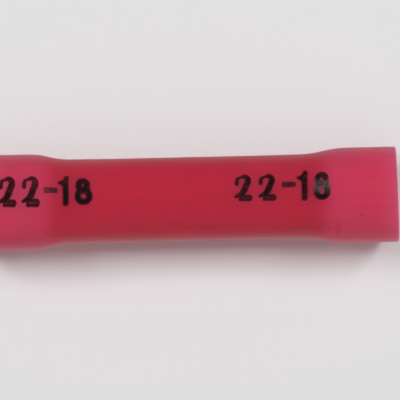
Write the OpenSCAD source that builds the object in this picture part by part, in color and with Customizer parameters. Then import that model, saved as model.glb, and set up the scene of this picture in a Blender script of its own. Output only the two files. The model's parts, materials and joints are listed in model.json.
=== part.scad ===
// Insulated butt splice for joining two wires of 22 to 18 AWG, standing on one cut end.
// A translucent nylon sleeve with flared ends grips a tinned copper barrel.
// Each wire's insulation enters a flare and its stripped strands go into the
// barrel, as far as the stop that is rolled into the barrel's middle.

/* [Sleeve] */
// Length of the insulating sleeve from end to end
sleeve_len = 26; // [22:0.5:34]
// Wall of the sleeve where it grips the barrel
grip_wall = 0.725; // [0.5:0.025:1]
// Bore of each flared end, where the wire's insulation goes in
entry_bore = 4.65; // [4.2:0.05:6]
// Wall of the sleeve at the flared ends
flare_wall = 0.6; // [0.45:0.05:0.9]
// Length over which the sleeve opens from grip to flare
taper_len = 2.7; // [1.6:0.1:3.6]
// Length of the barrel's end that the opening sleeve leaves free
flare_lap = 1.6; // [0:0.1:2.4]
// Rounding of the rims at the cut ends
rim_round = 0.15; // [0.05:0.01:0.2]

/* [Barrel] */
// Length of the tinned copper barrel
barrel_len = 17; // [13:0.5:20]
// Bore that takes the stripped strands
wire_bore = 1.9; // [1.6:0.1:2.3]
// Wall of the barrel's tube
barrel_wall = 0.85; // [0.7:0.05:1]
// Depth of the cone that leads the strands into the bore
lead_in = 0.35; // [0.1:0.05:0.5]
// Edge break round the outside of the barrel's ends
edge_break = 0.12; // [0.05:0.01:0.2]
// Radial gap between the barrel and the sleeve that grips it
grip_gap = 0.02; // [0.01:0.01:0.05]

/* [Centre stop] */
// Hole that the rolled stop leaves open
stop_bore = 0.6; // [0.4:0.1:1]
// Straight length of the stop at its narrowest
stop_len = 0.4; // [0.2:0.1:1]
// Length over which the tube necks down on each side of the stop
stop_taper = 1.3; // [1:0.1:2]

/* [Serrations] */
// Number of V grooves in each half of the barrel's bore
serration_count = 3; // [2:1:4]
// Distance from one groove to the next
serration_pitch = 1.2; // [0.8:0.1:1.4]
// Width of a groove at the bore
serration_width = 0.4; // [0.2:0.05:0.45]
// Depth of a groove into the wall
serration_depth = 0.15; // [0.05:0.05:0.25]

/* [Hidden] */
$fn = 96;

// How far a cutting shape reaches past what it cuts
past = 1;
// Radii closer than this count as level, with no curve between them
level = 0.001;

sleeve_half = sleeve_len / 2;
barrel_half = barrel_len / 2;
wire_r = wire_bore / 2;
stop_r = stop_bore / 2;
barrel_r = wire_r + barrel_wall;
neck_r = stop_r + barrel_wall;
grip_r = barrel_r + grip_gap;
entry_r = entry_bore / 2;
flare_start = barrel_half - flare_lap;
stop_half = stop_len / 2;

// Area between the axis and an S curve of two equal arcs, which runs from
// radius r_from at y = 0 to radius r_to at y = length
module ogee(r_from, r_to, length) {
    rise = abs(r_to - r_from);
    r_low = min(r_from, r_to);
    r_high = max(r_from, r_to);
    half = length / 2;
    if (rise < level) square([r_low, length]);
    else translate([0, r_to < r_from ? length : 0]) mirror([0, r_to < r_from ? 1 : 0]) {
        arc_r = (length * length + rise * rise) / (4 * rise);
        difference() {
            square([r_high, half]);
            translate([r_low + arc_r, 0]) circle(arc_r);
        }
        intersection() {
            translate([0, half]) square([r_high + past, half]);
            union() {
                square([r_low, length]);
                translate([r_high - arc_r, length]) circle(arc_r);
            }
        }
    }
}

// Area between the axis and a tube's surface that is straight at radius r_mid
// up to y = start, then opens or closes to radius r_end and runs on to y = end
module waisted(r_mid, r_end, start, taper, end) {
    square([r_mid, start]);
    translate([0, start]) ogee(r_mid, r_end, taper);
    translate([0, start + taper]) square([r_end, end - start - taper]);
}

// What lies outside a quarter circle in the corner of a rim
module rim_corner(radius) {
    difference() {
        square(radius + past);
        circle(radius);
    }
}

// Turns half a section, drawn above the splice's middle, into the whole piece
module turned() {
    translate([0, 0, sleeve_half])
        rotate_extrude() {
            children();
            mirror([0, 1]) children();
        }
}

// Nylon tube, hot flared at both ends
module insulating_sleeve() {
    color([0.70, 0.18, 0.26])
        turned()
            difference() {
                waisted(grip_r + grip_wall, entry_r + flare_wall, flare_start, taper_len, sleeve_half);
                waisted(grip_r, entry_r, flare_start, taper_len, sleeve_half + past);
                translate([entry_r + flare_wall - rim_round, sleeve_half - rim_round])
                    rim_corner(rim_round);
                translate([entry_r + rim_round, sleeve_half - rim_round])
                    mirror([1, 0]) rim_corner(rim_round);
            }
}

// One V groove round the barrel's bore
module serration() {
    polygon([
        [wire_r - serration_depth, -serration_width],
        [wire_r + serration_depth, 0],
        [wire_r - serration_depth, serration_width],
    ]);
}

// Tinned copper tube with a wire stop rolled into its middle
module crimp_barrel() {
    bore_mid = (stop_half + stop_taper + barrel_half - lead_in) / 2;
    first = bore_mid - serration_pitch * (serration_count - 1) / 2;
    color([0.78, 0.77, 0.74])
        turned()
            difference() {
                waisted(neck_r, barrel_r, stop_half, stop_taper, barrel_half);
                waisted(stop_r, wire_r, stop_half, stop_taper, barrel_half + past);
                for (i = [0 : serration_count - 1])
                    translate([0, first + i * serration_pitch]) serration();
                polygon([
                    [wire_r - past, barrel_half - lead_in - past],
                    [wire_r + lead_in + past, barrel_half + past],
                    [wire_r - past, barrel_half + past],
                ]);
                polygon([
                    [barrel_r - edge_break - past, barrel_half + past],
                    [barrel_r + past, barrel_half - edge_break - past],
                    [barrel_r + past, barrel_half + past],
                ]);
            }
}

insulating_sleeve();
crimp_barrel();
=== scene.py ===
# %% [markdown]
# # An insulated butt splice
#
# A butt splice joins two wires end to end. A red nylon tube, hot flared at both ends, grips a tinned
# copper barrel, and the wire range is stamped on the nylon in black. It stands here on one cut end.
# The CAD model fixes every size, so this lesson only adds what the eye needs: the soft, slightly uneven
# nylon, the print, the plated metal, the light and the camera.

# %% Load the frame
import json
import math

import bmesh
import bpy
from mathutils import Matrix, Vector


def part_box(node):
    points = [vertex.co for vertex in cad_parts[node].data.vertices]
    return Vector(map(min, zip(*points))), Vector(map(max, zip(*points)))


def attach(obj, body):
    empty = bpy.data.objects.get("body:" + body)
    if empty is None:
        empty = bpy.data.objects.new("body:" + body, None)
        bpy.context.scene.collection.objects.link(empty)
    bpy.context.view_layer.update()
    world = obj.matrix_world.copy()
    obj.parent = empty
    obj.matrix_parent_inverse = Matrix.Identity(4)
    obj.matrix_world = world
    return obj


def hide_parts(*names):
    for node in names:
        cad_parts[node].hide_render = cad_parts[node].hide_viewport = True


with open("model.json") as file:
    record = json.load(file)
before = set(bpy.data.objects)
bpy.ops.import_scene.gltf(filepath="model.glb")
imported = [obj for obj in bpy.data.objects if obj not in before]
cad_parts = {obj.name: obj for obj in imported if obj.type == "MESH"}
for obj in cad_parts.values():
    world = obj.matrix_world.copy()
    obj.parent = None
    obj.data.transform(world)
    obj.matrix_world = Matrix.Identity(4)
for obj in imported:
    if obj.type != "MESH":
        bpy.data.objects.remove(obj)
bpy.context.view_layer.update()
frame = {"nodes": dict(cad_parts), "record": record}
MM = 0.001
print("nodes:", sorted(frame["nodes"]))

# %% [markdown]
# ## Sizes
#
# Shapes are worked out in millimetres, because that is how the parts are drawn, and turned into metres
# when a mesh is made. The outside sizes are measured on the loaded nodes and the bores come from the
# record's mounts. Only what neither of them says, such as a wall or a rounding, is written here.

# %% Sizes in millimetres
sleeve_low, sleeve_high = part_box("insulating_sleeve")
barrel_low, barrel_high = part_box("crimp_barrel")
mounts = {mount["name"]: mount for mount in frame["record"]["mounts"]}

LENGTH = (sleeve_high.z - sleeve_low.z) / MM
MIDDLE = LENGTH / 2
FLARE_R = sleeve_high.x / MM
ENTRY_R = mounts["insulation_entry_upper"]["dims"]["r_mm"]
BARREL_R = barrel_high.x / MM
BARREL_HALF = (barrel_high.z - barrel_low.z) / 2 / MM
# Gap of the press fit, wall at the grip, barrel's end that the flare leaves free, length of the S, rounding
GRIP_GAP = 0.02
GRIP_WALL = 0.725
FLARE_LAP = 1.6
TAPER = 2.7
RIM = 0.15
BORE_R = BARREL_R + GRIP_GAP
GRIP_R = BORE_R + GRIP_WALL
FLARE_START = BARREL_HALF - FLARE_LAP
print(f"sleeve {LENGTH:.1f} long, {2 * FLARE_R:.2f} across the flares, {2 * GRIP_R:.2f} across the grip")

# %% [markdown]
# ## Three helpers
#
# Colours are written as sRGB hex, as a picture editor shows them, but Blender's sockets take linear light.
# Node trees are easier to read when each node is one line, so one function adds a node, sets its own
# properties, and fills or links its sockets. Every finish starts from an empty node tree.


# %% Colour and node helpers
def linear(hex_code):
    """Turns an sRGB hex colour into linear RGBA."""
    parts = [int(hex_code[i:i + 2], 16) / 255 for i in (1, 3, 5)]
    return (*[p / 12.92 if p <= 0.04045 else ((p + 0.055) / 1.055) ** 2.4 for p in parts], 1.0)


def put(tree, kind, inputs=None, **settings):
    """Adds a node: settings are its properties, inputs fill its sockets with values or links."""
    node = tree.nodes.new(kind)
    for name, value in settings.items():
        setattr(node, name, value)
    for socket, value in (inputs or {}).items():
        if isinstance(value, bpy.types.NodeSocket):
            tree.links.new(value, node.inputs[socket])
        else:
            node.inputs[socket].default_value = value
    return node


def new_material(name):
    """An empty node material."""
    material = bpy.data.materials.new(name)
    material.use_nodes = True
    material.node_tree.nodes.clear()
    return material


# The nylon's deep red over the barrel, which also holds painted shade from the metal behind the wall
DEEP_RED = linear("#BF2A43")
print("deep red in linear light:", [round(c, 3) for c in DEEP_RED])

# %% [markdown]
# ## The sleeve's walls
#
# The real sleeve is a length of extruded tube whose ends were pushed hot over a mandrel, so each wall runs
# from grip to flare through an S of two equal arcs. A lathe would give that, and so would a spline. Here
# the radius is a function of the height, because the print will have to lie on the same surface later.


# %% True walls
def ogee(way, length, r_start, r_end):
    """Radius at a distance along an S curve of two equal arcs."""
    rise = r_end - r_start
    arc_r = (length * length + rise * rise) / (4 * abs(rise))
    near = min(way, length - way)
    lift = math.copysign(arc_r - math.sqrt(arc_r * arc_r - near * near), rise)
    return r_start + lift if way < length / 2 else r_end - lift


def tube_radius(z, r_grip, r_flare):
    """Radius of a wall that is straight at the grip and at the flares."""
    way = abs(z - MIDDLE) - FLARE_START
    if way <= 0:
        return r_grip
    return ogee(way, TAPER, r_grip, r_flare) if way < TAPER else r_flare


def outer_radius(z):
    """Radius of the sleeve's outside before it strays from true."""
    return tube_radius(z, GRIP_R, FLARE_R)


print(f"outer radius at the middle {outer_radius(MIDDLE):.3f}, at the end {outer_radius(RIM):.3f}")

# %% [markdown]
# ## What hot forming did
#
# A hot-formed tube is never quite true. Sculpting could show that, but a second function keeps it small and
# known: the flares are a little oval and differ by a few hundredths of a millimetre, the shoulders swell
# and the upper one is softer, one end was cut a degree off square, and its shoulder has a faint crease.

# %% Strayed walls
# Lengths are in millimetres and turns in radians
UPPER_FLARE_SHRINK = 0.012
FLARE_OVAL = 0.015
OVAL_TURN = 0.7
SHOULDER_SWELL = 0.02
SWELL_REACH = 1.4
UPPER_DIP = 0.048
UPPER_DIP_Z = 21.65
UPPER_DIP_REACH = 0.85
CUT_SLOPE = math.tan(math.radians(0.85))
CUT_REACH = 2.5
CUT_WAVE = 0.006
CUT_WAVE_COUNT = 3
CUT_WAVE_TURN = 1
CREASE_Z = 22.28
CREASE_ANGLE = math.radians(-46)
CREASE_SPAN = math.radians(17)
CREASE_WIDTH = 0.16
CREASE_DEPTH = 0.01


def smooth(value, low, high):
    """Rises softly from 0 at low to 1 at high."""
    t = min(max((value - low) / (high - low), 0), 1)
    return t * t * (3 - 2 * t)


def uneven(angle, z):
    """How far the hot-formed wall strays from true, as (radius, height) in millimetres."""
    flared = smooth(abs(z - MIDDLE), FLARE_START, FLARE_START + TAPER)
    shrink = 0 if z < MIDDLE else UPPER_FLARE_SHRINK
    radius = -flared * (shrink + FLARE_OVAL * (1 + math.cos(2 * angle - OVAL_TURN)) / 2)
    radius += SHOULDER_SWELL * math.exp(-((abs(z - MIDDLE) - FLARE_START) / SWELL_REACH) ** 2)
    radius -= UPPER_DIP * math.exp(-((z - UPPER_DIP_Z) / UPPER_DIP_REACH) ** 2)
    along = math.exp(-((z - CREASE_Z) / CREASE_WIDTH) ** 2)
    around = math.exp(-((angle - CREASE_ANGLE) / CREASE_SPAN) ** 4)
    radius -= CREASE_DEPTH * along * around
    cut = smooth(z, LENGTH - CUT_REACH, LENGTH)
    height = -cut * CUT_SLOPE * FLARE_R * (1 + math.sin(angle))
    height -= cut * CUT_WAVE * (1 + math.sin(CUT_WAVE_COUNT * angle + CUT_WAVE_TURN))
    return radius, height


def sleeve_point(angle, r, z):
    """A point of the sleeve in metres. Angle 0 faces -Y, and 90 degrees faces -X."""
    more_r, more_z = uneven(angle, z)
    r += more_r
    return Vector((-r * math.sin(angle), -r * math.cos(angle), z + more_z)) * MM


print("strays at the upper end, radius and height:", [round(s, 3) for s in uneven(0, LENGTH)])

# %% [markdown]
# ## The sleeve's section
#
# The section is one closed loop of points: up the outside, round the rim of the cut end, down the bore and
# round the other rim. Fewer points would do for the straight grip, but even, short steps hold the crease and
# keep every face of the mesh a clean quad.

# %% Closed section loop
OUTER_STEPS = 208
BORE_STEPS = 104
RIM_STEPS = 5


def rim_arc(centre_r, centre_z, first):
    """The points inside a quarter turn of the rim's rounding, from an angle in degrees."""
    turns = [math.radians(first + 90 * i / RIM_STEPS) for i in range(1, RIM_STEPS)]
    return [(centre_r + RIM * math.cos(t), centre_z + RIM * math.sin(t)) for t in turns]


def sleeve_section():
    """The closed loop of (radius, height) that the sleeve is turned from."""
    straight = LENGTH - 2 * RIM
    up = [RIM + straight * i / OUTER_STEPS for i in range(OUTER_STEPS + 1)]
    down = [LENGTH - RIM - straight * i / BORE_STEPS for i in range(BORE_STEPS + 1)]
    loop = [(outer_radius(z), z) for z in up]
    loop += rim_arc(FLARE_R - RIM, LENGTH - RIM, 0)
    loop += [(FLARE_R - RIM, LENGTH), (ENTRY_R + RIM, LENGTH)]
    loop += rim_arc(ENTRY_R + RIM, LENGTH - RIM, 90)
    loop += [(tube_radius(z, BORE_R, ENTRY_R), z) for z in down]
    loop += rim_arc(ENTRY_R + RIM, RIM, 180)
    loop += [(ENTRY_R + RIM, 0), (FLARE_R - RIM, 0)]
    loop += rim_arc(FLARE_R - RIM, RIM, 270)
    return loop


section = sleeve_section()
print("section:", len(section), "points")

# %% [markdown]
# ## The sleeve's mesh
#
# Turning the section in even steps gives quads all over, which shade smoothly and bend light as a solid wall
# does. A Screw modifier could turn it, but each point also strays as the formed tube does, so the quads are
# written out. The mesh stands for the CAD sleeve, which is hidden.

# %% Sleeve mesh
ROUND_STEPS = 160


def make_piece(name, points, faces):
    """A smooth-shaded mesh object in the scene, with its faces turned outwards."""
    mesh = bpy.data.meshes.new(name)
    mesh.from_pydata(points, [], faces)
    work = bmesh.new()
    work.from_mesh(mesh)
    bmesh.ops.recalc_face_normals(work, faces=work.faces)
    work.to_mesh(mesh)
    work.free()
    mesh.shade_smooth()
    piece = bpy.data.objects.new(name, mesh)
    bpy.context.scene.collection.objects.link(piece)
    return piece


rows = len(section)
angles = [2 * math.pi * i / ROUND_STEPS for i in range(ROUND_STEPS)]
angles = [a if a <= math.pi else a - 2 * math.pi for a in angles]
points = [sleeve_point(angle, r, z) for angle in angles for r, z in section]
faces = []
for i in range(ROUND_STEPS):
    here = i * rows
    there = (i + 1) % ROUND_STEPS * rows
    for j in range(rows):
        k = (j + 1) % rows
        faces.append((here + j, here + k, there + k, there + j))
sleeve = make_piece("nylon_sleeve", points, faces)
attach(sleeve, "root")
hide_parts("insulating_sleeve")
print(f"sleeve mesh: {len(points)} points, {len(faces)} quads")

# %% [markdown]
# ## Red nylon, extruded
#
# The sleeve is polyamide, dyed red and left translucent. Light sinks in before it comes back. Over the metal
# barrel little light comes back from below, and in the hollow flares the far wall sends light back. The base
# colour paints part of this by height: the deep red over the barrel is painted shade, and the paler, pinker
# red of the flares is painted light through the wall, together with real milkiness, as stretching has made
# the nylon slightly milky. By the cut rims a pinker red is a painted glow. Real depth alone would not show
# that milkiness, so the colour follows the height.

# %% Nylon colour by height
# Painted light: the paler red of the hollow flares, with the nylon's slight milkiness, and a pinker painted
# glow by the cut rims
PALE_RED = linear("#CA3F60")
RIM_RED = linear("#B8587C")
END_BLUR = 0.8
RIM_GLOW = 1.2
RIM_SHARE = 0.6

nylon = new_material("red nylon, extruded")
tree = nylon.node_tree
place = put(tree, "ShaderNodeTexCoord").outputs["Object"]
height = put(tree, "ShaderNodeSeparateXYZ", {0: place}).outputs["Z"]
from_middle = put(tree, "ShaderNodeMath", {0: height, 1: MIDDLE * MM}, operation="SUBTRACT").outputs[0]
from_middle = put(tree, "ShaderNodeMath", {0: from_middle}, operation="ABSOLUTE").outputs[0]
hollow = put(
    tree,
    "ShaderNodeMapRange",
    {
        "Value": from_middle,
        "From Min": (BARREL_HALF - END_BLUR) * MM,
        "From Max": (BARREL_HALF + END_BLUR) * MM,
    },
    interpolation_type="SMOOTHSTEP",
).outputs[0]
# How much of the painted glow by the cut rims shows
painted_rim_glow = put(
    tree,
    "ShaderNodeMapRange",
    {
        "Value": from_middle,
        "From Min": (MIDDLE - RIM_GLOW) * MM,
        "From Max": MIDDLE * MM,
        "To Max": RIM_SHARE,
    },
    interpolation_type="SMOOTHSTEP",
).outputs[0]
# Painted shade over the barrel, painted light in the flares and a painted glow by the rims
colour = put(tree, "ShaderNodeMix", {0: hollow, 6: DEEP_RED, 7: PALE_RED}, data_type="RGBA").outputs[2]
colour = put(tree, "ShaderNodeMix", {0: painted_rim_glow, 6: colour, 7: RIM_RED}, data_type="RGBA").outputs[2]
print("nylon colour by height:", len(tree.nodes), "nodes")

# %% [markdown]
# ## Extrusion lines and clouding
#
# The die that the tube was drawn through leaves faint lines along it, and the dye is never quite even. Both
# are noise at a real size: the lines are noise that is stretched along the tube, and the clouds are a couple
# of millimetres across. Together they make the red a few hundredths lighter or darker.

# %% Lines and clouds
LINE_SPACING = 0.16
LINE_LENGTH = 7.0
CLOUD_SIZE = 2.2
MOTTLE_SPAN = (0.6, 1.4)
MOTTLE_SHADE = (0.93, 1.07)

stretched = put(
    tree,
    "ShaderNodeMapping",
    {"Vector": place, "Scale": [1 / (s * MM) for s in (LINE_SPACING, LINE_SPACING, LINE_LENGTH)]},
).outputs[0]
lines = put(tree, "ShaderNodeTexNoise", {"Vector": stretched, "Scale": 1.0, "Detail": 3.0}).outputs[0]
cloud = put(
    tree, "ShaderNodeTexNoise", {"Vector": place, "Scale": 1 / (CLOUD_SIZE * MM), "Detail": 2.0}
).outputs[0]
mottle = put(tree, "ShaderNodeMath", {0: lines, 1: cloud}, operation="ADD").outputs[0]
shade = put(
    tree,
    "ShaderNodeMapRange",
    {
        "Value": mottle,
        "From Min": MOTTLE_SPAN[0],
        "From Max": MOTTLE_SPAN[1],
        "To Min": MOTTLE_SHADE[0],
        "To Max": MOTTLE_SHADE[1],
    },
).outputs[0]
colour = put(
    tree, "ShaderNodeMix", {0: 1.0, 6: colour, 7: shade}, data_type="RGBA", blend_type="MULTIPLY"
).outputs[2]
print("nylon with lines and clouds:", len(tree.nodes), "nodes")

# %% [markdown]
# ## Speck, crease and scuffs
#
# The upper flare has a brown speck in the nylon, painted shade along the crease at the shoulder, and two
# faint scuffs. An image would be the usual way to place such marks. Here each one is a soft, stretched spot
# round a point of the sleeve's own surface, so it stays where it is from every side.

# %% Marks on the upper flare
# Darker red that paints shade in the shoulder's crease
CREASE_SHADE_RED = linear("#A82840")
SPECK_BROWN = linear("#6B2A33")
MARK_CORE = 0.3
# Height, angle in degrees, reach along and round the flare, colour and strength
MARKS = [
    (23.76, -25, 0.20, 0.15, SPECK_BROWN, 0.4),
    # Painted shade in the crease
    (CREASE_Z, -47, 0.26, 1.05, CREASE_SHADE_RED, 0.38),
    (23.87, 44, 0.42, 0.07, RIM_RED, 0.4),
    (24.47, 22, 0.52, 0.06, DEEP_RED, 0.5),
]

for z, angle, long, wide, tone, strength in MARKS:
    spot = sleeve_point(math.radians(angle), outer_radius(z), z)
    off = put(tree, "ShaderNodeVectorMath", {0: place, 1: spot}, operation="SUBTRACT").outputs[0]
    shrunk = [1 / (reach * MM) for reach in (wide, wide, long)]
    off = put(tree, "ShaderNodeVectorMath", {0: off, 1: shrunk}, operation="MULTIPLY").outputs[0]
    away = put(tree, "ShaderNodeVectorMath", {0: off}, operation="LENGTH").outputs["Value"]
    mark = put(
        tree,
        "ShaderNodeMapRange",
        {"Value": away, "From Min": MARK_CORE, "From Max": 1.0, "To Min": strength, "To Max": 0.0},
        interpolation_type="SMOOTHSTEP",
    ).outputs[0]
    colour = put(tree, "ShaderNodeMix", {0: mark, 6: colour, 7: tone}, data_type="RGBA").outputs[2]
print("marks:", len(MARKS))

# %% [markdown]
# ## Satin skin
#
# Extruded nylon has a satin skin, so the lines also vary the roughness and stand a few thousandths of a
# millimetre proud. Subsurface scattering carries red light about two millimetres through the wall, and
# green and blue much less. The skin's real grain is finer than a pixel, so it is drawn coarser, to show.

# %% Nylon shader
NYLON_IOR = 1.53
NYLON_ROUGHNESS = 0.34
SATIN_SPREAD = 0.06
LINE_RELIEF = 0.006
LINE_STRENGTH = 0.35
SKIN_GRAIN = 0.12
GRAIN_RELIEF = 0.003
GRAIN_STRENGTH = 0.25
LIGHT_REACH = 2.2
REACH_BY_COLOUR = (1.0, 0.12, 0.18)

satin = put(
    tree,
    "ShaderNodeMapRange",
    {"Value": lines, "To Min": NYLON_ROUGHNESS - SATIN_SPREAD, "To Max": NYLON_ROUGHNESS + SATIN_SPREAD},
).outputs[0]
grain = put(
    tree, "ShaderNodeTexNoise", {"Vector": place, "Scale": 1 / (SKIN_GRAIN * MM), "Detail": 2.0}
).outputs[0]
relief = put(
    tree, "ShaderNodeBump", {"Strength": LINE_STRENGTH, "Distance": LINE_RELIEF * MM, "Height": lines}
).outputs[0]
relief = put(
    tree,
    "ShaderNodeBump",
    {"Strength": GRAIN_STRENGTH, "Distance": GRAIN_RELIEF * MM, "Height": grain, "Normal": relief},
).outputs[0]
shader = put(
    tree,
    "ShaderNodeBsdfPrincipled",
    {
        "Base Color": colour,
        "Roughness": satin,
        "IOR": NYLON_IOR,
        "Normal": relief,
        "Subsurface Weight": 1.0,
        "Subsurface Radius": REACH_BY_COLOUR,
        "Subsurface Scale": LIGHT_REACH * MM,
    },
)
put(tree, "ShaderNodeOutputMaterial", {"Surface": shader.outputs[0]})
sleeve.data.materials.append(nylon)
print("nylon:", len(tree.nodes), "nodes")

# %% [markdown]
# ## Tin plate on drawn copper
#
# The barrel is a drawn copper tube, plated with tin after it was cut. The CAD mesh already has its chamfers,
# serrations and rolled stop, so it keeps its shape and gets a finish: a soft silver metal, a little warm
# where the plate is thin, with drawing lines along the tube. Real drawing lines are finer than a pixel, so
# they are drawn coarser, to show.

# %% Tin plate material
TIN_GREY = linear("#C9C6BF")
TIN_WARM = linear("#B4A595")
TIN_ROUGHNESS = 0.34
TIN_SPREAD = 0.1
DRAW_SPACING = 0.05
DRAW_LENGTH = 2.5
DRAW_RELIEF = 0.004
DRAW_STRENGTH = 0.3
PLATE_CLOUD = 0.6
THIN_SPAN = (0.5, 0.75)
THIN_SHARE = 0.6

tin = new_material("tin plate on drawn copper")
tree = tin.node_tree
place = put(tree, "ShaderNodeTexCoord").outputs["Object"]
stretched = put(
    tree,
    "ShaderNodeMapping",
    {"Vector": place, "Scale": [1 / (s * MM) for s in (DRAW_SPACING, DRAW_SPACING, DRAW_LENGTH)]},
).outputs[0]
lines = put(tree, "ShaderNodeTexNoise", {"Vector": stretched, "Scale": 1.0, "Detail": 3.0}).outputs[0]
cloud = put(
    tree, "ShaderNodeTexNoise", {"Vector": place, "Scale": 1 / (PLATE_CLOUD * MM), "Detail": 4.0}
).outputs[0]
thin_plate = put(
    tree,
    "ShaderNodeMapRange",
    {"Value": cloud, "From Min": THIN_SPAN[0], "From Max": THIN_SPAN[1], "To Max": THIN_SHARE},
).outputs[0]
colour = put(tree, "ShaderNodeMix", {0: thin_plate, 6: TIN_GREY, 7: TIN_WARM}, data_type="RGBA").outputs[2]
satin = put(
    tree,
    "ShaderNodeMapRange",
    {"Value": lines, "To Min": TIN_ROUGHNESS - TIN_SPREAD, "To Max": TIN_ROUGHNESS + TIN_SPREAD},
).outputs[0]
relief = put(
    tree, "ShaderNodeBump", {"Strength": DRAW_STRENGTH, "Distance": DRAW_RELIEF * MM, "Height": lines}
).outputs[0]
shader = put(
    tree,
    "ShaderNodeBsdfPrincipled",
    {"Base Color": colour, "Metallic": 1.0, "Roughness": satin, "Normal": relief},
)
put(tree, "ShaderNodeOutputMaterial", {"Surface": shader.outputs[0]})
barrel = frame["nodes"]["crimp_barrel"]
barrel.data.materials.clear()
barrel.data.materials.append(tin)
print("tin plate:", len(tree.nodes), "nodes")

# %% [markdown]
# ## Pen strokes for the numerals
#
# The wire range is hot stamped, so the ink is a thin film with soft, uneven edges. A font would be too clean.
# Here each numeral is drawn with a pen: points (x, y, half-width) along the middle of a stroke, measured in
# millimetres from the numeral's lower left corner.

# %% Bows and bars
BOW_STEPS = 12
RING_STEPS = 24
BAR_PEN = 0.095


def bow(centre, radii, first, last, widths, steps=BOW_STEPS):
    """Stroke points along part of an ellipse, from one angle in degrees to another."""
    found = []
    for i in range(steps + 1):
        t = i / steps
        turn = math.radians(first + (last - first) * t)
        x = centre[0] + radii[0] * math.cos(turn)
        y = centre[1] + radii[1] * math.sin(turn)
        found.append((x, y, widths[0] + (widths[1] - widths[0]) * t))
    return found


def ring(centre, radii, pen):
    """Stroke points all round an ellipse."""
    return bow(centre, radii, 0, 360, (pen, pen), RING_STEPS)


def bar(left, right, y, split, nose):
    """A narrow loop of the pen, whose two passes barely meet along its middle, leaving a thin line there."""
    low, high = y - split, y + split
    loop = [(left, low), (right - nose, low), (right, y), (right - nose, high), (left, high), (left, low)]
    return [(x, row, BAR_PEN) for x, row in loop]


print("points in a bar:", len(bar(0, 1, 0, BAR_PEN, 0)))

# %% Numerals of the wire range
FOOT_CLOSED = 0.096
FOOT_OPEN = 0.12
FOOT_NOSE = 0.07
DASH_SPLIT = 0.06
DASH_NOSE = 0.01
EIGHT_LEFT = -0.035
EIGHT_FOOT_HALF = 0.535


def numeral_two(split=FOOT_CLOSED):
    """One stroke for hook, bowl and sweep, and a bar for the foot."""
    hook = [(0.145, 1.06, 0.115), (0.15, 1.26, 0.115), (0.22, 1.41, 0.085), (0.37, 1.47, 0.07)]
    bowl = bow((0.60, 1.28), (0.235, 0.26), 95, -25, (0.13, 0.19))
    sweep = [(0.64, 0.74, 0.185), (0.45, 0.42, 0.185), (0.05, 0.26, 0.065)]
    return [hook + bowl + sweep, bar(0.36, 1.0, 0.18, split, FOOT_NOSE)]


def numeral_one():
    """A stem and a pointed flag."""
    stem = [(0.43, 0.11, 0.175), (0.44, 1.35, 0.18), (0.49, 1.72, 0.15)]
    flag = [(0.36, 1.36, 0.25), (0.03, 1.36, 0.07)]
    return [stem, flag]


def numeral_eight(pen, ring_pen, half_wide):
    """Two rings and a waist. The lower ring has a pen and a width of its own."""
    upper = ring((0.465, 1.19), (0.25, 0.285), pen)
    centre = (EIGHT_LEFT + ring_pen + half_wide, 0.515)
    lower = ring(centre, (half_wide, EIGHT_FOOT_HALF - ring_pen), ring_pen)
    waist = [(0.25, 0.90, pen), (0.73, 0.90, pen)]
    return [upper, lower, waist]


def dash(y):
    """A short bar at a height."""
    return [bar(0.08, 0.73, y, DASH_SPLIT, DASH_NOSE)]


# Each stamping: its numerals, their left edges, the ink that each took at its foot and at its head, how much
# more or less it took towards the right, and how much painted sheen greys the foil round its middle
LOWER_TYPE = [
    (numeral_two(), 0.14, 0.93, 0.6, 0.0, 0.0),
    (numeral_two(FOOT_OPEN), 1.56, 0.88, 0.55, 0.0, 0.0),
    (dash(0.885), 2.92, 0.27, 0.27, 0.57, 0.1),
    (numeral_one(), 3.79, 1.05, 0.68, 0.0, 0.0),
    (numeral_eight(0.195, 0.185, 0.355), 4.81, 0.82, 0.76, 0.0, 0.0),
]
UPPER_TYPE = [
    (numeral_two(), 0.02, 0.75, 0.8, 0.0, 0.0),
    (numeral_two(), 1.48, 0.8, 0.8, 0.0, 0.0),
    (dash(0.955), 2.93, 0.63, 0.63, 0.0, 0.0),
    (numeral_one(), 3.85, 0.7, 0.82, 0.0, 0.0),
    (numeral_eight(0.17, 0.17, 0.345), 4.86, 1.0, 0.8, -0.15, 0.72),
]
print("numerals:", len(LOWER_TYPE), "and", len(UPPER_TYPE))

# %% [markdown]
# ## Outline of the ink
#
# Strokes that cross would make a mesh that cuts itself. So every corner of a fine grid gets its depth inside
# the nearest stroke, and the film is cut where that depth is zero, which joins strokes cleanly. Marching over
# the grid, each cell keeps the corners that are inside and the points where its edges cross the outline.

# %% Depth inside a stroke
INK_SPREAD = 0.02
RAGGED = 0.016
# Waves that make the edge ragged: radians per millimetre across and up, and a turn
RAGGED_WAVES = [(9, 4, 0), (-6, 17, 2), (31, 23, 0)]


def depth_in_stroke(x, y, strokes):
    """How far a point lies inside the nearest stroke. Below zero it is outside."""
    best = -math.inf
    for stroke in strokes:
        for (x0, y0, w0), (x1, y1, w1) in zip(stroke, stroke[1:]):
            dx, dy = x1 - x0, y1 - y0
            t = min(max(((x - x0) * dx + (y - y0) * dy) / (dx * dx + dy * dy), 0), 1)
            far = math.hypot(x - x0 - t * dx, y - y0 - t * dy)
            best = max(best, w0 + (w1 - w0) * t - far)
    ragged = sum(math.sin(across * x + up * y + turn) for across, up, turn in RAGGED_WAVES)
    return best + INK_SPREAD + RAGGED * ragged / len(RAGGED_WAVES)


print("depth in the stem of a one:", round(depth_in_stroke(0.43, 0.8, numeral_one()), 3))

# %% Film cut from a grid
GRID_LOW = (-0.1, -0.15)
GRID_HIGH = (1.15, 1.95)
INK_CELL = 0.025
# Share of a cell's edge that a cut stays away from its corners, so that no face shrinks to nothing
CORNER_KEEP = 0.03


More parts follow.
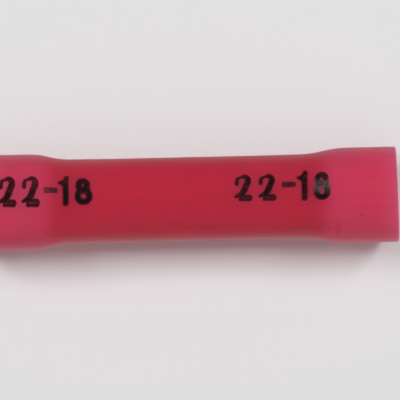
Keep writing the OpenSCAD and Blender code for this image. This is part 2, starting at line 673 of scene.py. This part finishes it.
def film_outline(strokes):
    """Cuts the grid along the strokes. Returns points (x, y, depth) and faces."""
    columns = round((GRID_HIGH[0] - GRID_LOW[0]) / INK_CELL)
    rows_up = round((GRID_HIGH[1] - GRID_LOW[1]) / INK_CELL)
    corners = {}
    for i in range(columns + 1):
        for j in range(rows_up + 1):
            x = GRID_LOW[0] + i * INK_CELL
            y = GRID_LOW[1] + j * INK_CELL
            corners[i, j] = (x, y, depth_in_stroke(x, y, strokes))
    found = {}
    film = []
    for i in range(columns):
        for j in range(rows_up):
            around = [(i, j), (i + 1, j), (i + 1, j + 1), (i, j + 1)]
            cell = []
            for a, b in zip(around, around[1:] + around[:1]):
                depth_a = corners[a][2]
                depth_b = corners[b][2]
                if depth_a > 0:
                    cell.append(found.setdefault(a, (len(found), corners[a]))[0])
                if (depth_a > 0) != (depth_b > 0):
                    t = min(max(depth_a / (depth_a - depth_b), CORNER_KEEP), 1 - CORNER_KEEP)
                    x, y = (corners[a][k] + (corners[b][k] - corners[a][k]) * t for k in (0, 1))
                    edge = frozenset((a, b))
                    cell.append(found.setdefault(edge, (len(found), (x, y, 0.0)))[0])
            if cell:
                film.append(cell)
    return [point for _, point in found.values()], film


print("faces in the film of a one:", len(film_outline(numeral_one())[1]))

# %% [markdown]
# ## Film of ink
#
# Each outline is wrapped on the sleeve's own surface. The film is thickest in from its edge, and its
# underside lies just below the nylon's skin, so each numeral is a closed solid with no gap under it. The mesh
# also carries what the material needs to know: how far in from the edge a point is, how much ink was taken
# up there, and how much painted sheen greys the foil.

# %% Stamping the numerals
NUMERAL_MIDDLE = 0.86
NUMERAL_HEAD = 1.7
PRINT_ANGLE = math.radians(14.6)
INK_THICK = 0.008
INK_SUNK = 0.012
INK_EDGE = 0.1
# Painted sheen round a numeral's middle: where it is strongest and how fast it fades
SHEEN_MIDDLE = 0.82
SHEEN_REACH = (0.05, 0.6)


def ink_point(x, y, start_z, rise):
    """Wraps a point of the print on the sleeve, rise millimetres proud of its skin."""
    angle = PRINT_ANGLE + (y - NUMERAL_MIDDLE) / GRIP_R
    z = start_z + x
    return sleeve_point(angle, outer_radius(z) + rise, z)


def stamp(name, start_z, type_line):
    """One stamping of the wire range, as closed films of ink in one mesh."""
    points = []
    faces = []
    edge = []
    load = []
    sheen = []
    for strokes, left, foot_ink, head_ink, right_ink, sheen_share in type_line:
        flat, film = film_outline(strokes)
        base = len(points)
        count = len(flat)
        inward = [min(depth / INK_EDGE, 1.0) for x, y, depth in flat]
        for (x, y, depth), share in zip(flat, inward):
            points.append(ink_point(left + x, y, start_z, INK_THICK * share))
        points += [ink_point(left + x, y, start_z, -INK_SUNK) for x, y, depth in flat]
        edge += inward * 2
        up_ink = (head_ink - foot_ink) / NUMERAL_HEAD
        load += [foot_ink + up_ink * y + right_ink * x for x, y, depth in flat] * 2
        # How much painted sheen greys the foil at each point
        sheen += [sheen_share * (1 - smooth(abs(y - SHEEN_MIDDLE), *SHEEN_REACH)) for x, y, depth in flat] * 2
        borders = set()
        for face in film:
            faces.append([base + k for k in face])
            faces.append([base + count + k for k in reversed(face)])
            for a, b in zip(face, face[1:] + face[:1]):
                borders ^= {(a, b)} if (b, a) not in borders else {(b, a)}
        faces += [(base + b, base + a, base + count + a, base + count + b) for a, b in borders]
    piece = make_piece(name, points, faces)
    for title, values in (("ink_edge", edge), ("ink_load", load), ("ink_sheen", sheen)):
        piece.data.attributes.new(title, "FLOAT", "POINT").data.foreach_set("value", values)
    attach(piece, "root")
    print(f"{name}: {len(points)} points, {len(faces)} faces")
    return piece


LOWER_PRINT_Z = 1.5
UPPER_PRINT_Z = 15.98
prints = [
    stamp("stamped_range_lower", LOWER_PRINT_Z, LOWER_TYPE),
    stamp("stamped_range_upper", UPPER_PRINT_Z, UPPER_TYPE),
]

# %% [markdown]
# ## Stamping ink
#
# The film is a matt black foil pressed on with a heated die. It thins out towards the edges of a stroke, and
# wherever less ink was taken up, so some red comes through there. Round the middle of some numerals the foil
# is mixed towards grey in patches, a painted sheen. Mixing opaque colours shows all of that without a
# transparent film.

# %% Ink material
INK_BLACK = linear("#100708")
INK_THIN = linear("#7C2030")
# Grey of a painted sheen on the foil
INK_SHEEN_GREY = linear("#6B5C60")
INK_ROUGHNESS = 0.55
INK_SHINE = 0.3
INK_PATCH = 0.2
EDGE_THIN = 0.75
SHORT_SPAN = (-0.3, 0.3)
SHORT_THIN = 0.9
SHEEN_SPAN = (0.2, 0.7)

ink = new_material("black foil, hot stamped")
tree = ink.node_tree
place = put(tree, "ShaderNodeTexCoord").outputs["Object"]
inward = put(tree, "ShaderNodeAttribute", attribute_name="ink_edge").outputs["Fac"]
load = put(tree, "ShaderNodeAttribute", attribute_name="ink_load").outputs["Fac"]
sheen = put(tree, "ShaderNodeAttribute", attribute_name="ink_sheen").outputs["Fac"]
patch = put(
    tree, "ShaderNodeTexNoise", {"Vector": place, "Scale": 1 / (INK_PATCH * MM), "Detail": 3.0}
).outputs[0]
rim = put(tree, "ShaderNodeMapRange", {"Value": inward, "To Min": EDGE_THIN, "To Max": 0.0}).outputs[0]
short = put(tree, "ShaderNodeMath", {0: patch, 1: load}, operation="SUBTRACT").outputs[0]
bare = put(
    tree,
    "ShaderNodeMapRange",
    {"Value": short, "From Min": SHORT_SPAN[0], "From Max": SHORT_SPAN[1], "To Max": SHORT_THIN},
).outputs[0]
thin = put(tree, "ShaderNodeMath", {0: rim, 1: bare}, operation="MAXIMUM").outputs[0]
colour = put(tree, "ShaderNodeMix", {0: thin, 6: INK_BLACK, 7: INK_THIN}, data_type="RGBA").outputs[2]
blotch = put(
    tree, "ShaderNodeMapRange", {"Value": patch, "From Min": SHEEN_SPAN[0], "From Max": SHEEN_SPAN[1]}
).outputs[0]
sheen_mix = put(tree, "ShaderNodeMath", {0: blotch, 1: sheen}, operation="MULTIPLY").outputs[0]
# Painted sheen: the foil is mixed towards grey in patches
colour = put(tree, "ShaderNodeMix", {0: sheen_mix, 6: colour, 7: INK_SHEEN_GREY}, data_type="RGBA").outputs[2]
shader = put(
    tree,
    "ShaderNodeBsdfPrincipled",
    {"Base Color": colour, "Roughness": INK_ROUGHNESS, "Specular IOR Level": INK_SHINE},
)
put(tree, "ShaderNodeOutputMaterial", {"Surface": shader.outputs[0]})
for piece in prints:
    piece.data.materials.append(ink)
print("ink:", len(tree.nodes), "nodes")

# %% [markdown]
# ## Floor and backdrop
#
# The splice stands on a pale floor. The photograph looks straight at its side, with a pale surface touching
# it from behind, so a small backdrop stands there to catch the same soft shadow. Both only receive light:
# they are hidden from every ray but the camera's, so they block and tint nothing, and the backdrop is clear
# from behind. The floor is like a light table: by the part it is plain paper that takes a shadow, and further
# out it is lit from below, so that it meets the pale background without a line.

# %% Papers
PAPER = linear("#E5E5E6")
PAPER_SEEN = 0.9
FLOOR_NEAR = 25.0
FLOOR_FAR = 250.0

paper = new_material("matt paper")
tree = paper.node_tree
matt = put(tree, "ShaderNodeBsdfDiffuse", {"Color": PAPER}).outputs[0]
clear = put(tree, "ShaderNodeBsdfTransparent").outputs[0]
behind = put(tree, "ShaderNodeNewGeometry").outputs["Backfacing"]
one_way = put(tree, "ShaderNodeMixShader", {0: behind, 1: matt, 2: clear}).outputs[0]
put(tree, "ShaderNodeOutputMaterial", {"Surface": one_way})

floor_paper = new_material("matt paper, lit from below")
tree = floor_paper.node_tree
matt = put(tree, "ShaderNodeBsdfDiffuse", {"Color": PAPER}).outputs[0]
bright = put(tree, "ShaderNodeEmission", {"Color": PAPER, "Strength": PAPER_SEEN}).outputs[0]
place = put(tree, "ShaderNodeTexCoord").outputs["Object"]
away = put(tree, "ShaderNodeVectorMath", {0: place}, operation="LENGTH").outputs["Value"]
far_out = put(
    tree,
    "ShaderNodeMapRange",
    {"Value": away, "From Min": FLOOR_NEAR * MM, "From Max": FLOOR_FAR * MM},
    interpolation_type="SMOOTHSTEP",
).outputs[0]
blended = put(tree, "ShaderNodeMixShader", {0: far_out, 1: matt, 2: bright}).outputs[0]
put(tree, "ShaderNodeOutputMaterial", {"Surface": blended})
print("papers:", paper.name, "and", floor_paper.name)

# %% Sheets
FLOOR_HALF = 3000.0
BACK_LEFT = -32.0
BACK_RIGHT = 20.0
BACK_TOP = 45.0
BACK_TURN = math.tan(math.radians(-0.5))


def stage_sheet(name, corners, material):
    """A flat sheet that only the camera sees."""
    mesh = bpy.data.meshes.new(name)
    mesh.from_pydata(corners, [], [(0, 1, 2, 3)])
    sheet = bpy.data.objects.new(name, mesh)
    bpy.context.scene.collection.objects.link(sheet)
    mesh.materials.append(material)
    for ray in ("diffuse", "glossy", "transmission", "volume_scatter", "shadow"):
        setattr(sheet, "visible_" + ray, False)


half = FLOOR_HALF * MM
stage_sheet("floor", [(-half, -half, 0), (half, -half, 0), (half, half, 0), (-half, half, 0)], floor_paper)
foot = [Vector((x, FLARE_R + BACK_TURN * x, 0)) * MM for x in (BACK_LEFT, BACK_RIGHT)]
rise = Vector((0, 0, BACK_TOP)) * MM
stage_sheet("backdrop", [foot[0], foot[1], foot[1] + rise, foot[0] + rise], paper)
print("backdrop foot:", [[round(c, 4) for c in corner] for corner in foot])

# %% [markdown]
# ## Light
#
# The photograph has a soft shadow on one side, close to the part, and no highlight. The shadow stops short of
# the part's end on a slant, so the light comes from two lamps, one towards each end. Here they are small
# panels in front, a little to the side opposite the shadow. A wide, weak panel in front lifts the shadow's
# core, a strip on the shadow's side lights the part's underside, and a panel behind shows its back. All are
# hidden from reflections.

# %% Lamps
LAMP_FAR = 400.0
# Name, angle round the part from the camera's side in degrees, height above the part's middle, width,
# length and watts
LAMPS = [
    ("upper key lamp", 21.5, 285.0, 200.0, 70.0, 1.01),
    ("lower key lamp", 21.5, -285.0, 200.0, 70.0, 1.01),
    ("front panel", 0.0, 0.0, 800.0, 1400.0, 0.95),
    ("fill strip", -98.0, 0.0, 100.0, 1400.0, 1.05),
    ("back panel", 180.0, 0.0, 800.0, 1400.0, 1.2),
]

for name, angle, height, wide, long, watts in LAMPS:
    turn = math.radians(angle)
    lamp_way = Vector((-math.sin(turn) * LAMP_FAR, -math.cos(turn) * LAMP_FAR, height))
    lamp_data = bpy.data.lights.new(name, "AREA")
    lamp_data.shape = "RECTANGLE"
    lamp_data.size = wide * MM
    lamp_data.size_y = long * MM
    lamp_data.energy = watts
    lamp = bpy.data.objects.new(name, lamp_data)
    lamp.location = (lamp_way + Vector((0, 0, MIDDLE))) * MM
    lamp.rotation_euler = (-lamp_way).to_track_quat("-Z", "Y").to_euler()
    lamp.visible_glossy = False
    lamp.visible_camera = False
    bpy.context.scene.collection.objects.link(lamp)
    print(name, "at", [round(c, 3) for c in lamp.location])

# %% [markdown]
# ## Sky
#
# What the satin nylon mirrors is a dim sky, which is pale behind the part, where paper would send light back,
# and a little brighter on the shadow's side and overhead. An even sky would wash the deep red out. The camera
# itself sees plain paper beyond the floor.

# %% Sky
SKY_FRONT = 0.12
SKY_BACK = 0.5
SKY_SIDE = 0.09
SKY_TOP = 0.3
SKY_TINT = linear("#F6F3F5")
# How far a direction points to the back, or to the side or up, where a glow begins and where it is full
BACK_SPAN = (0.0, 0.8)
PATCH_SPAN = (0.3, 1.0)

world = bpy.data.worlds.new("soft sky")
bpy.context.scene.world = world
world.use_nodes = True
tree = world.node_tree
tree.nodes.clear()
way = put(tree, "ShaderNodeTexCoord").outputs["Generated"]
way = put(tree, "ShaderNodeSeparateXYZ", {0: way}).outputs
glow = put(
    tree,
    "ShaderNodeMapRange",
    {
        "Value": way["Y"],
        "From Min": BACK_SPAN[0],
        "From Max": BACK_SPAN[1],
        "To Min": SKY_FRONT,
        "To Max": SKY_BACK,
    },
    interpolation_type="SMOOTHSTEP",
).outputs[0]
for axis, more in (("X", SKY_SIDE), ("Z", SKY_TOP)):
    patch = put(
        tree,
        "ShaderNodeMapRange",
        {"Value": way[axis], "From Min": PATCH_SPAN[0], "From Max": PATCH_SPAN[1], "To Max": more},
        interpolation_type="SMOOTHSTEP",
    ).outputs[0]
    glow = put(tree, "ShaderNodeMath", {0: glow, 1: patch}, operation="ADD").outputs[0]
lit = put(tree, "ShaderNodeBackground", {"Color": SKY_TINT, "Strength": glow}).outputs[0]
plain = put(tree, "ShaderNodeBackground", {"Color": PAPER, "Strength": PAPER_SEEN}).outputs[0]
seen = put(tree, "ShaderNodeLightPath").outputs["Is Camera Ray"]
both = put(tree, "ShaderNodeMixShader", {0: seen, 1: lit, 2: plain}).outputs[0]
put(tree, "ShaderNodeOutputWorld", {"Surface": both})
bpy.context.scene.view_settings.view_transform = "Standard"
print("sky:", len(tree.nodes), "nodes")

# %% [markdown]
# ## Camera
#
# The photograph looks straight at the side of the splice, which lies across the picture with its upper end
# to the right, rising by a degree or so. Its outline hardly narrows, so the lens is very long. The picture's
# scale and the place of the splice's middle in it were measured on the photograph.

# %% Camera
PICTURE = 400
PIXELS_PER_MM = 16.366
MIDDLE_PIXEL = (185.4, 198.85)
TILT = math.radians(1.28)
CAMERA_FAR = 600.0
CAMERA_NEAREST = 10.0
SENSOR = 36.0

along = Vector((0, 0, 1))
across = Vector((-1, 0, 0))
right = along * math.cos(TILT) - across * math.sin(TILT)
up = along * math.sin(TILT) + across * math.cos(TILT)
aside = (PICTURE / 2 - MIDDLE_PIXEL[0]) / PIXELS_PER_MM
below = (PICTURE / 2 - MIDDLE_PIXEL[1]) / PIXELS_PER_MM
target = along * MIDDLE + right * aside - up * below
backwards = right.cross(up)
camera_data = bpy.data.cameras.new("camera")
camera_data.sensor_width = SENSOR
camera_data.lens = SENSOR * CAMERA_FAR * PIXELS_PER_MM / PICTURE
camera_data.clip_start = CAMERA_NEAREST * MM
camera = bpy.data.objects.new("camera", camera_data)
bpy.context.scene.collection.objects.link(camera)
turn = Matrix((right, up, backwards)).transposed()
camera.matrix_world = Matrix.Translation((target + backwards * CAMERA_FAR) * MM) @ turn.to_4x4()
bpy.context.scene.camera = camera
print(f"lens {camera_data.lens:.0f} mm at {CAMERA_FAR:.0f} mm")
